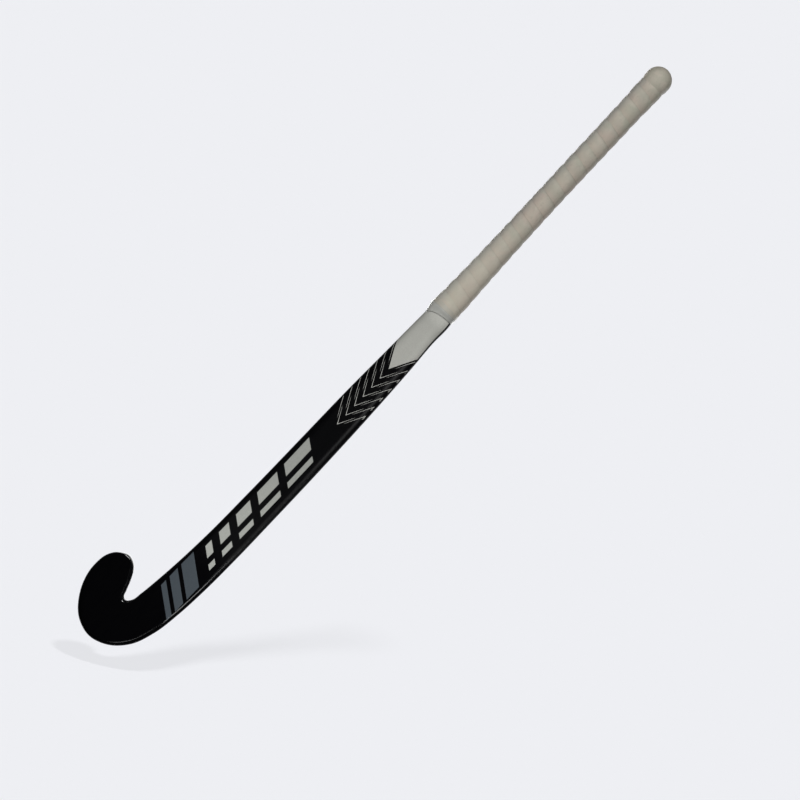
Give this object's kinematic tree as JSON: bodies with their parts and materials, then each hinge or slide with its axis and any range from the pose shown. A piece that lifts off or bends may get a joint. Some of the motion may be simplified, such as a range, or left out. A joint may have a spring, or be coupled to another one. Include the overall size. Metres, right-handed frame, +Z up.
{
  "type": "field hockey stick",
  "caption": "Full size composite field hockey stick with a flat playing face, rounded back, low bow, short upturned hook and a wound cushion grip with a domed end.",
  "frame": {"origin": "inside the grip, on the height where the hands hold it, 740 mm above the lowest point of the hook and 187 mm below the butt end, in the plane of the hook's flat face", "axes": "+Z up the handle toward the butt end, -Y the way the flat playing face looks, -X toward the toe of the hook"},
  "size_m": [0.1137, 0.0513, 0.927],
  "materials": {
    "lacquered_laminate": "black lacquer over a fibre laminate, satin on the face",
    "grip_strip": "matte cushioned strip, warm grey",
    "cap_rubber": "matte warm grey",
    "tape": "satin grey tape",
    "underlay_foam": "thin cushion sleeve",
    "plug_plastic": "moulded plug",
    "damper_rubber": "soft rubber sleeve",
    "core_foam": "rigid foam"
  },
  "bodies": {
    "root": {"composite_shell": "lacquered_laminate", "grip_wrap": "grip_strip", "butt_cap": "cap_rubber", "finishing_tape": "tape", "grip_underlay": "underlay_foam", "handle_plug": "plug_plastic", "damping_insert": "damper_rubber", "head_core": "core_foam"}
  },
  "joints": []
}
